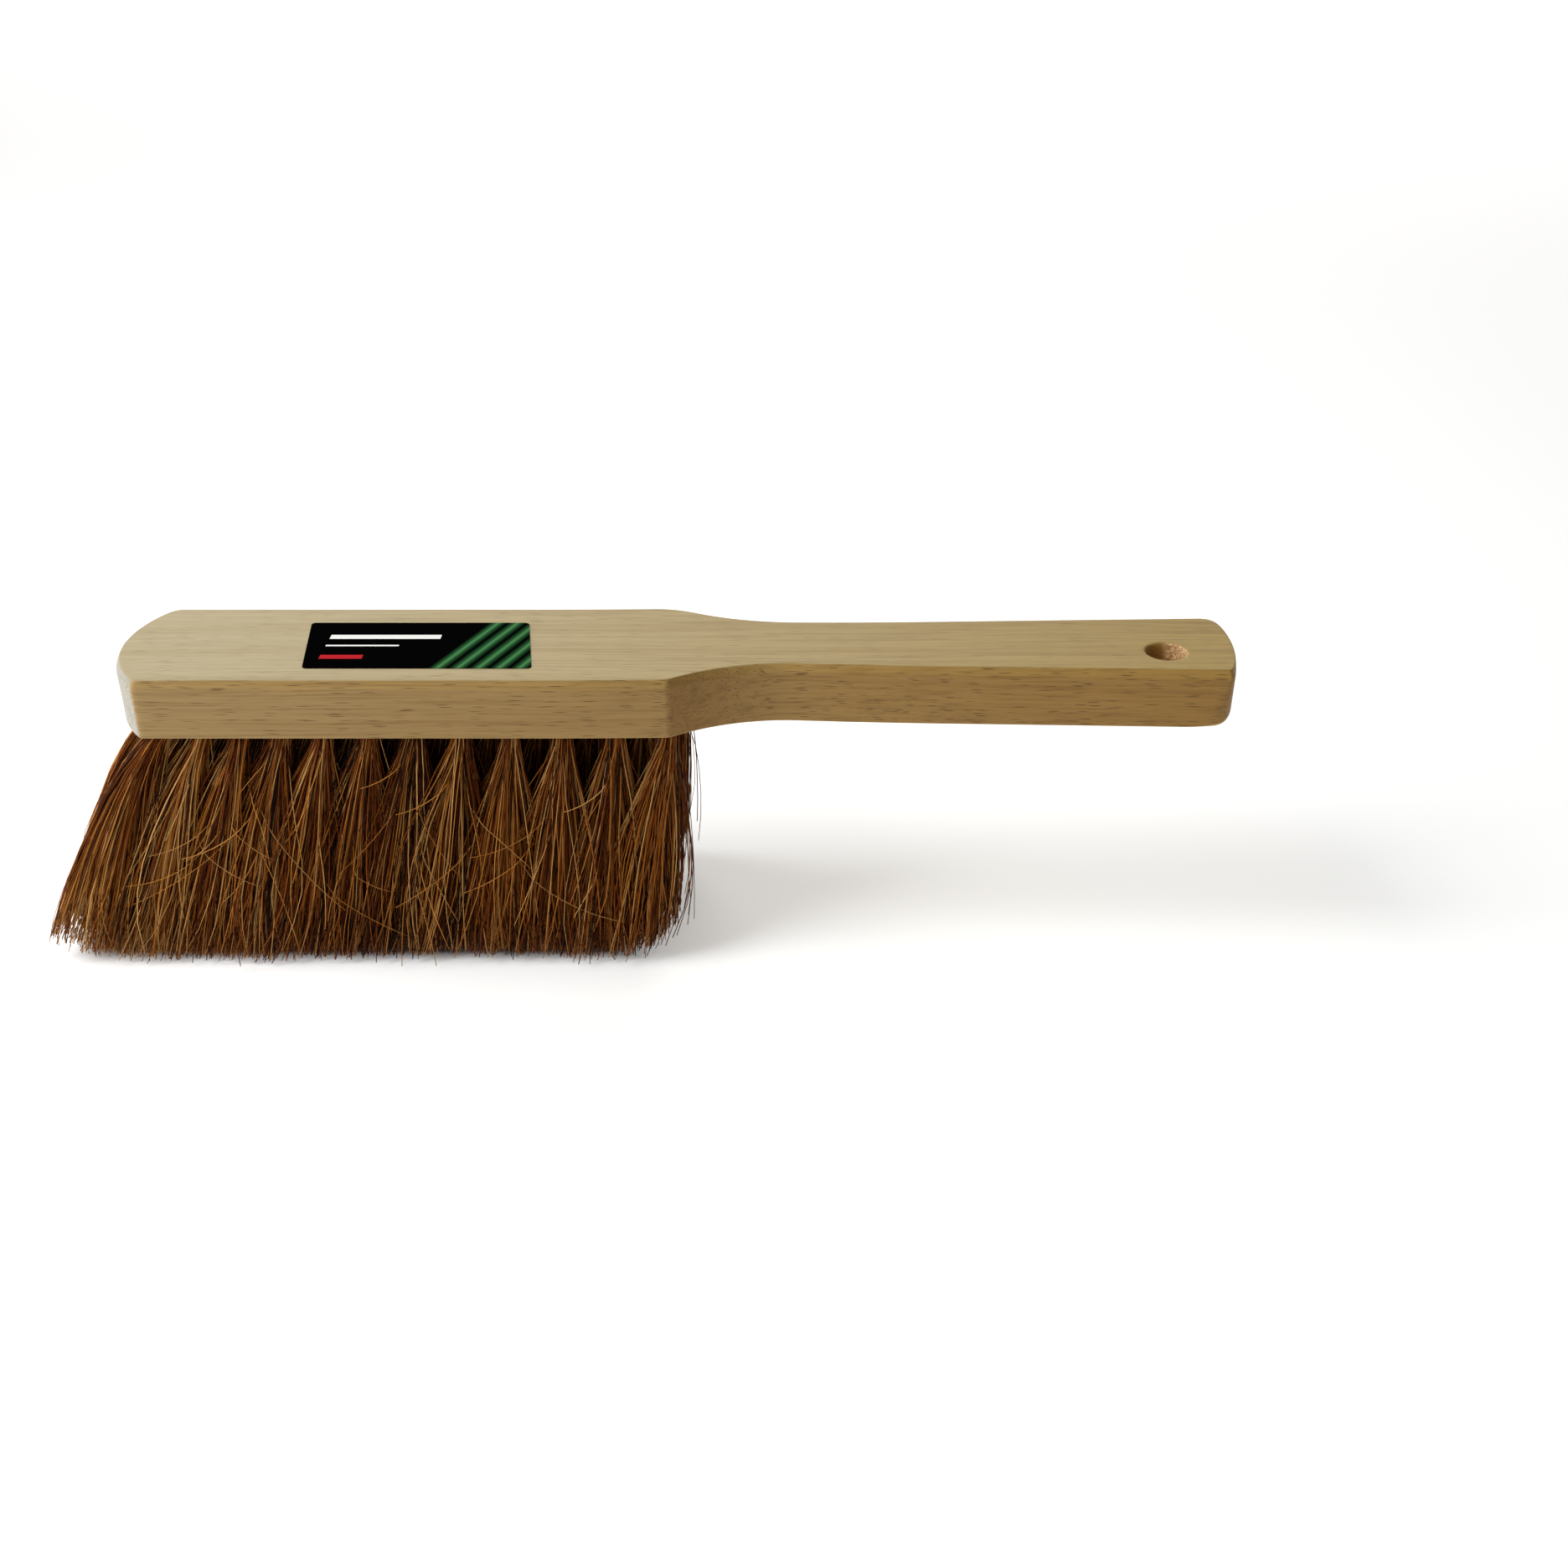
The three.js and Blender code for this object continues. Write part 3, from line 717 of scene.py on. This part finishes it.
def held_within(value, low, high):
    """Values past a limit lie less than half a millimetre past it: the excess over one plus twice itself."""
    inside = np.clip(value, low, high)
    excess = value - inside
    return inside + excess / (1 + 2 * np.abs(excess))


def row_edges(roots, share):
    """Edges of a row on the toe's and the heel's side at a share of the fibre length: from its end holes to
    its limits, on the toe's side with a power of the share below one, on the heel's with a bulge half way."""
    toe_root, heel_root = roots[0, 0] - root_reach, roots[-1, 0] + root_reach
    toe_edge = toe_root + (toe_limit - toe_root) * share**toe_opening
    heel_edge = heel_root + (heel_limit - heel_root) * share + heel_bulge * np.sin(np.pi * share)
    return toe_edge, heel_edge


def tuft_fibres(roots, tips, random):
    """Middle lines of a row's fibres, each from its place in the hole to its place in the fan. Locks share a
    place, free fibres don't, and all crowd to the outside of the fan. Trim shortens them in a straight slope
    at the toe and with the square of the distance at the heel. The fan opens with a power of the share of the
    length that grows from toe to heel. A bow is added that is greatest three fifths down, a curl that grows
    with the square of the share, and a slight crimp. The row's edges hold each fibre in, with some play, but
    strays stand off at the heel. Also each ring's tone: the fibre's own, at the toe paler, by a paler tone at
    the root and by painted light from the left lamp that grows with the share."""
    tufts = len(roots)
    shape = (tufts, fibres_per_tuft)
    to_heel = np.linspace(0, 1, tufts)
    lock_of = np.arange(fibres_per_tuft) % locks_per_tuft
    locks = unit_disc(random, (tufts, locks_per_tuft))[:, lock_of]
    free = random.random(shape) < free_share
    in_fan = np.where(free[..., None], unit_disc(random, shape), locks)
    in_fan = np.sign(in_fan) * np.abs(in_fan) ** fan_crowding
    in_hole = root_order * in_fan + (1 - root_order) * unit_disc(random, shape)
    stray = random.random(shape) < stray_share + heel_strays * to_heel[:, None] ** heel_stray_power
    broken = random.random(shape) < broken_share

    spread = toe_spread * (1 - to_heel) ** end_tuft_power - heel_gather * to_heel**end_tuft_power
    reach = np.stack([fan_reach_x + spread, np.full(tufts, fan_reach_y)], axis=-1)[:, None]
    start = roots[:, None, :2] + root_reach * in_hole
    scatter = np.where(random.random(shape) < wild_share, wild_scatter, lock_scatter)
    thrown = limited_normal(random, (*shape, 2)) * np.array([1.0, scatter_across])
    end = tips[:, None, :2] + reach * in_fan + scatter[..., None] * thrown
    end[..., 1] = held_within(end[..., 1], -side_limit, side_limit)

    tuft_short = tuft_unevenness * random.random((tufts, 1))
    lock_short = (lock_unevenness * random.random((tufts, locks_per_tuft)))[:, lock_of]
    uneven = fibre_unevenness * random.random(shape)
    trimmed = random.random(shape) < trimmed_share
    ragged = np.where(trimmed, uneven, random.exponential(untrimmed_length, shape))
    toe_cut = toe_trim_slope * np.clip(toe_trim_x - end[..., 0], 0, None)
    heel_cut = heel_trim_curve * np.clip(end[..., 0] - heel_trim_x, 0, None) ** 2
    broken_off = np.where(broken, broken_length * random.random(shape), 0)
    tip_height = tuft_short + lock_short + ragged + toe_cut + heel_cut + broken_off
    end_share = 1 - np.clip(tip_height, 0, most_missing * fibre_length) / fibre_length
    places = np.linspace(0, 1, rings_per_fibre) ** ring_crowding
    share = (places - hidden_share * (1 - places))[None, None] * end_share[..., None]
    open_share = np.clip(share, 0, 1)[..., None]

    lock_bow = random.normal(0, lock_bow_size, (tufts, locks_per_tuft, 2))[:, lock_of]
    own_bow = np.where(random.random(shape) < tangled_share, tangled_bow, fibre_bow)
    own_bow = np.where(stray, stray_bow, own_bow)[..., None] * limited_normal(random, (*shape, 2))
    bow = (lock_bow + own_bow) * np.array([1.0, bow_across])
    curl = np.where(stray, stray_curl, fibre_curl)[..., None] * unit_disc(random, shape)
    waves = fewest_waves + more_waves * random.random((*shape, 1, 1))
    phase = 2 * np.pi * random.random((*shape, 1, 2))
    crimp = crimp_size * random.random((*shape, 1, 1)) * np.sin(2 * np.pi * waves * open_share + phase)
    opening = toe_opening + (heel_opening - toe_opening) * to_heel[:, None, None, None] ** opening_power
    plan = start[:, :, None] + (end - start)[:, :, None] * open_share**opening
    plan = plan + bow_height * open_share**bow_power * (1 - open_share) * bow[:, :, None]
    plan = plan + open_share**2 * curl[:, :, None]

    down = open_share[..., 0]
    toe_edge, heel_edge = row_edges(roots, down)
    lock_play = random.random((tufts, locks_per_tuft))[:, lock_of]
    play = edge_play * (lock_play_share * lock_play + own_play_share * random.random(shape))[..., None]
    play = play * np.clip(play_growth * down, 0, 1)
    past_heel = np.where(stray[..., None], stray_play * down, -play)
    plan[..., 0] = held_within(plan[..., 0], toe_edge + play, heel_edge + past_heel)
    plan = plan + crimp * np.clip(crimp_growth * open_share, 0, 1)
    lines = np.concatenate([plan, -fibre_length * share[..., None]], axis=-1)

    tone = random.normal(lock_tone, lock_tone_spread, (tufts, locks_per_tuft))[:, lock_of]
    tone = tone + random.normal(0, fibre_tone_spread, shape)
    tone = tone + np.where(random.random(shape) < pale_share, pale_step, 0)
    # Paler toe tufts: their own paler tone at the root, and painted light from the left lamp growing
    # downwards.
    gilt_and_light = toe_gilt_and_light * (1 - to_heel[:, None, None]) ** gilt_and_light_power * (gilt_at_root + painted_light_growth * down)
    tone = np.clip(tone[..., None] + gilt_and_light, darkest_tone, palest_tone)
    return lines.reshape(-1, rings_per_fibre, 3), tone.reshape(-1, rings_per_fibre)


# Loose fibres on the outside of the outer rows: where each leaves its tuft, how it leans and how long it is
loose_rings = 14
loose_counts = {"front": 44, "back": 44}
thinnest_loose, thickest_loose = 0.11, 0.16
darkest_loose = 0.8
leave_from, leave_span, leave_spread = 0.06, 0.5, 0.8
toe_leaning_share = 0.6
least_lean, most_lean, least_turn, most_turn = 0.05, 0.85, -0.5, 0.9
shortest_loose, longest_loose = 14, 44
floor_share, least_fall = 0.9, 0.2
face_share, come_out_growth = 0.9, 3


def loose_fibres(roots, tips, count, outwards, random):
    """Strays across the outside of a row. Each leaves its tuft part way down at a lean of its own, which
    turns evenly along it, ends above the floor and comes out to just beyond the row's outer face."""
    tuft = np.sort(random.integers(1, len(roots) - 1, count))
    leave = leave_from + leave_span * random.random((count, 1))
    start = roots[tuft] + (tips - roots)[tuft] * leave
    start_x = start[:, :1] + fan_reach_x * leave * random.uniform(-leave_spread, leave_spread, (count, 1))
    share = np.linspace(0, 1, loose_rings)[None]
    side = np.where(random.random((count, 1)) < toe_leaning_share, -1, 1)
    lean = side * random.uniform(least_lean, most_lean, (count, 1))
    lean = lean + side * random.uniform(least_turn, most_turn, (count, 1)) * share
    fall = np.mean(np.cos(lean), axis=1, keepdims=True)
    to_floor = floor_share * (fibre_length + start[:, 2:]) / np.maximum(fall, least_fall)
    length = np.minimum(random.uniform(shortest_loose, longest_loose, (count, 1)), to_floor)
    step = length / (loose_rings - 1)
    z = start[:, 2:] - np.cumsum(np.cos(lean) * step, axis=1)
    depth = np.clip(-z / fibre_length, 0, 1)
    x = held_within(start_x + np.cumsum(np.sin(lean) * step, axis=1), *row_edges(roots, depth))
    splay = root_reach + row_splay * depth + face_share * fan_reach_y * depth**heel_opening
    outer_face = roots[0, 1] + outwards * splay
    y = start[:, 1:2] + (outer_face + outwards - start[:, 1:2]) * np.clip(come_out_growth * share, 0, 1)
    tone = random.uniform(darkest_loose, 1.0, (count, 1))
    return np.stack([x, y, z], axis=-1), np.repeat(tone, loose_rings, axis=1)


def fibre_skin(lines, thinnest, thickest, random):
    """Three-sided tubes round middle lines, tapered to the tip, with flat ends; also each point's share."""
    count, rings = lines.shape[:2]
    along = np.gradient(lines, axis=1)
    along /= np.linalg.norm(along, axis=2, keepdims=True)
    across = np.cross(along, [0, 1, 0])
    across /= np.linalg.norm(across, axis=2, keepdims=True)
    upright = np.cross(along, across)
    share = np.linspace(0, 1, rings)
    taper = 1 - tip_taper * share
    radius = random.uniform(thinnest, thickest, (count, 1, 1, 1)) * taper[None, :, None, None]
    turn = 2 * np.pi * (np.arange(fibre_sides) / fibre_sides + random.random((count, 1)))[:, None, :, None]
    circle = np.cos(turn) * across[:, :, None, :] + np.sin(turn) * upright[:, :, None, :]
    points = lines[:, :, None, :] + radius * circle
    first = np.arange(count)[:, None, None] * rings * fibre_sides
    quads = grid_quads(rings, fibre_sides, closed_columns=True)[None] + first
    ring = np.arange(fibre_sides)[None, None]
    ends = np.concatenate([first + ring[..., ::-1], first + (rings - 1) * fibre_sides + ring], axis=1)
    along_share = np.broadcast_to(share[None, :, None], points.shape[:3])
    return points.reshape(-1, 3), quads.reshape(-1, 4), ends.reshape(-1, fibre_sides), along_share.ravel()


def coir_row(name, line_groups, random):
    """One mesh of all fibres of half a row. Its UV map holds the tone across and the share along upwards."""
    skins = [fibre_skin(lines, *thickness, random) for lines, tones, thickness in line_groups]
    firsts = np.cumsum([0] + [len(skin[0]) for skin in skins[:-1]])
    points = np.concatenate([skin[0] for skin in skins])
    quads = np.concatenate([skin[1] + first for skin, first in zip(skins, firsts)])
    ends = np.concatenate([skin[2] + first for skin, first in zip(skins, firsts)])
    row = mesh_piece(name, to_frame(points), quads, ends)
    tones = [np.repeat(tones, fibre_sides) for lines, tones, thickness in line_groups]
    palette = np.stack([np.concatenate(tones), np.concatenate([skin[3] for skin in skins])], axis=1)
    corners = np.concatenate([quads.ravel(), ends.ravel()])
    uv_map = row.data.uv_layers.new(name="OFBake")
    uv_map.uv.foreach_set("vector", palette[corners].astype(np.float32).ravel())
    return row


# Coir, the natural brown fibre: from dark red-brown to straw, each fibre of its own tone, with painted shade
# that darkens it towards its cut tip, and a dull sheen.
dark_coir = [(0.0, "#1a0902"), (0.3, "#582706"), (0.5, "#86420d")]
pale_coir = [(0.7, "#ac6721"), (0.88, "#c98b3e"), (1.0, "#dfb271")]
# Painted shade along each fibre, darkest at its cut tip.
shade_to_tip = [(0.0, "#e8e2dc"), (0.35, "#e0dad4"), (0.75, "#ece6de"), (1.0, "#c2b6aa")]
first_seed = 100
coir, tree, shader = new_material("natural coir fibre")
palette_place = add_node(tree, "ShaderNodeUVMap", uv_map="OFBake").outputs["UV"]
palette_xyz = add_node(tree, "ShaderNodeSeparateXYZ", {"Vector": palette_place})
fibre_tone = add_node(
    tree, "ShaderNodeValToRGB", {"Fac": palette_xyz.outputs["X"]}, stops=dark_coir + pale_coir
).outputs["Color"]
# Painted shade along the fibre, multiplied into its tone.
painted_tip_shade = add_node(
    tree, "ShaderNodeValToRGB", {"Fac": palette_xyz.outputs["Y"]}, stops=shade_to_tip
).outputs["Color"]
coir_colour = add_node(
    tree,
    "ShaderNodeMix",
    {"Factor": 1.0, 6: fibre_tone, 7: painted_tip_shade},
    data_type="RGBA",
    blend_type="MULTIPLY",
).outputs[2]
tree.links.new(coir_colour, shader.inputs["Base Color"])
shader.inputs["Roughness"].default_value = 0.5
shader.inputs["Specular IOR Level"].default_value = 0.08

for seed, (row_name, row) in enumerate(rows.items()):
    random = np.random.default_rng(first_seed + seed)
    roots, tips = tuft_lines(*row)
    fibres = [np.split(part, 2) for part in tuft_fibres(roots, tips, random)]
    loose = loose_fibres(roots, tips, loose_counts.get(row_name, 0), np.sign(row[0]), random)
    loose = [np.split(part, 2) for part in loose]
    for number, half in enumerate(("toe", "heel")):
        groups = [(*(part[number] for part in fibres), (thinnest_fibre, thickest_fibre))]
        groups.append((*(part[number] for part in loose), (thinnest_loose, thickest_loose)))
        coir_piece = coir_row(f"coir_row_{row_name}_{half}", groups, random)
        coir_piece.data.materials.append(coir)
        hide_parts(f"bristle_row_{row_name}")
        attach(coir_piece, "root")

# Label: a strip of printed paper stuck on top of the head, black with slanted green stripes at one end, two
# pale bars and a red one.
label_low, label_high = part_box("label")
label_middle = (label_low + label_high) / 2
stripe_slant = 0.4
stripe_start = 11
stripe_period = 2.6
bars_start = -24
long_bar_end, long_bar_offset, long_bar_width = 5, 5.0, 2.6
short_bar_end, short_bar_offset, short_bar_width = -5, -0.5, 0.9
red_bar_end, red_bar_offset, red_bar_width = -13, -7.5, 2.4
black_ink, pale_ink, red_ink = "#040404", "#e4e4de", "#b3242b"
green_inks = [(0.0, "#040604"), (0.2, "#122a16"), (0.5, "#254f2a"), (0.8, "#44784a")]

printed_paper, tree, shader = new_material("printed label paper")
place = add_node(tree, "ShaderNodeTexCoord").outputs["Object"]
to_mm = {"Vector": place, "Location": tuple(-label_middle / MM), "Scale": (1 / MM, 1 / MM, 1 / MM)}
label_mm = add_node(tree, "ShaderNodeMapping", to_mm).outputs["Vector"]
label_xyz = add_node(tree, "ShaderNodeSeparateXYZ", {"Vector": label_mm})
across, up = label_xyz.outputs["X"], label_xyz.outputs["Y"]
slanted = add_node(
    tree, "ShaderNodeMath", {0: up, 1: -stripe_slant, 2: across}, operation="MULTIPLY_ADD"
).outputs["Value"]
past_start = add_node(
    tree, "ShaderNodeMath", {0: slanted, 1: stripe_start}, operation="GREATER_THAN"
).outputs["Value"]
stripe_phase = add_node(
    tree, "ShaderNodeMath", {0: slanted, 1: stripe_period}, operation="PINGPONG"
).outputs["Value"]
stripe_tone = add_node(
    tree, "ShaderNodeMath", {0: stripe_phase, 1: stripe_period}, operation="DIVIDE"
).outputs["Value"]
stripes = add_node(tree, "ShaderNodeValToRGB", {"Fac": stripe_tone}, stops=green_inks)
stripes.color_ramp.interpolation = "CONSTANT"
print_colour = add_node(
    tree,
    "ShaderNodeMix",
    {"Factor": past_start, 6: linear(black_ink), 7: stripes.outputs["Color"]},
    data_type="RGBA",
).outputs[2]
bars = [
    (long_bar_end, long_bar_offset, long_bar_width, pale_ink),
    (short_bar_end, short_bar_offset, short_bar_width, pale_ink),
    (red_bar_end, red_bar_offset, red_bar_width, red_ink),
]
for end, offset, width, ink in bars:
    length_middle, half_length = (bars_start + end) / 2, (end - bars_start) / 2
    in_height = add_node(
        tree, "ShaderNodeMath", {0: up, 1: offset, 2: width / 2}, operation="COMPARE"
    ).outputs["Value"]
    in_length = add_node(
        tree, "ShaderNodeMath", {0: across, 1: length_middle, 2: half_length}, operation="COMPARE"
    ).outputs["Value"]
    in_bar = add_node(
        tree, "ShaderNodeMath", {0: in_height, 1: in_length}, operation="MULTIPLY"
    ).outputs["Value"]
    print_colour = add_node(
        tree, "ShaderNodeMix", {"Factor": in_bar, 6: print_colour, 7: linear(ink)}, data_type="RGBA"
    ).outputs[2]
tree.links.new(print_colour, shader.inputs["Base Color"])
shader.inputs["Roughness"].default_value = 0.8
shader.inputs["Specular IOR Level"].default_value = 0.0
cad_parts["label"].material_slots[0].material = printed_paper

# Floor and light: a plain pale sheet of paper under the fibre tips and soft boxes. The sheet glows faintly,
# painted light that keeps it white and lifts the shadows cast on it, but not under the tufts, so no light
# shines up between their tips. The main box hangs above and to the left, so the top of the plank is bright
# and its front side in half shade.
floor_half = 6.0
floor_glow, glow_from, glow_to = 0.26, 0.82, 0.95
floor_corners = floor_half * np.array([(-1, -1, 0), (1, -1, 0), (1, 1, 0), (-1, 1, 0)])
floor = mesh_piece("floor", floor_corners, np.array([[0, 1, 2, 3]]))
floor_paper, tree, shader = new_material("white backing paper")
shader.inputs["Base Color"].default_value = linear("#f6f5f2")
shader.inputs["Roughness"].default_value = 0.9
shader.inputs["Emission Color"].default_value = linear("#ffffff")
bristle_low, bristle_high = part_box("bristle_row_inner_front")
place = add_node(tree, "ShaderNodeTexCoord").outputs["Object"]
under_middle = (-(bristle_low.x + bristle_high.x) / 2, 0, 0)
footprint = (2 / (bristle_high.x - bristle_low.x), 1 / side_limit / MM, 0)
in_footprint = add_node(
    tree, "ShaderNodeMapping", {"Vector": place, "Location": under_middle}
).outputs["Vector"]
share_out = add_node(
    tree, "ShaderNodeVectorMath", {0: in_footprint, 1: footprint}, operation="MULTIPLY"
).outputs["Vector"]
share_out = add_node(tree, "ShaderNodeVectorMath", {0: share_out}, operation="ABSOLUTE").outputs["Vector"]
share_xyz = add_node(tree, "ShaderNodeSeparateXYZ", {"Vector": share_out})
furthest = add_node(
    tree, "ShaderNodeMath", {0: share_xyz.outputs["X"], 1: share_xyz.outputs["Y"]}, operation="MAXIMUM"
).outputs["Value"]
glow = add_node(
    tree,
    "ShaderNodeMapRange",
    {"Value": furthest, "From Min": glow_from, "From Max": glow_to, "To Max": floor_glow},
).outputs["Result"]
tree.links.new(glow, shader.inputs["Emission Strength"])
floor.data.materials.append(floor_paper)

# Each soft box: its place, what it points at, its side in metres, its power in watts and its colour
soft_boxes = {
    "main_box": ((-0.72, -0.16, 0.80), (-0.02, 0.0, 0.08), 0.7, 11.5, "#fbfdff"),
    "toe_box": ((-1.15, -0.28, 0.16), (-0.13, 0.0, 0.07), 0.35, 5.0, "#ffffff"),
    "back_box": ((0.4, 3.4, 2.2), (0.4, 2.9, 0.0), 3.6, 100.0, "#ffffff"),
}
for name, (position, target, size, power, colour) in soft_boxes.items():
    light = bpy.data.lights.new(name, "AREA")
    light.energy = power
    light.size = size
    light.color = linear(colour)[:3]
    soft_box = bpy.data.objects.new(name, light)
    soft_box.location = position
    towards = Vector(target) - Vector(position)
    soft_box.rotation_euler = towards.to_track_quat("-Z", "Y").to_euler()
    bpy.context.scene.collection.objects.link(soft_box)

room_light = 0.16
world = bpy.data.worlds.new("studio")
world.use_nodes = True
background = world.node_tree.nodes["Background"]
background.inputs["Color"].default_value = linear("#ffffff")
background.inputs["Strength"].default_value = room_light
bpy.context.scene.world = world
bpy.context.scene.view_settings.view_transform = "Standard"
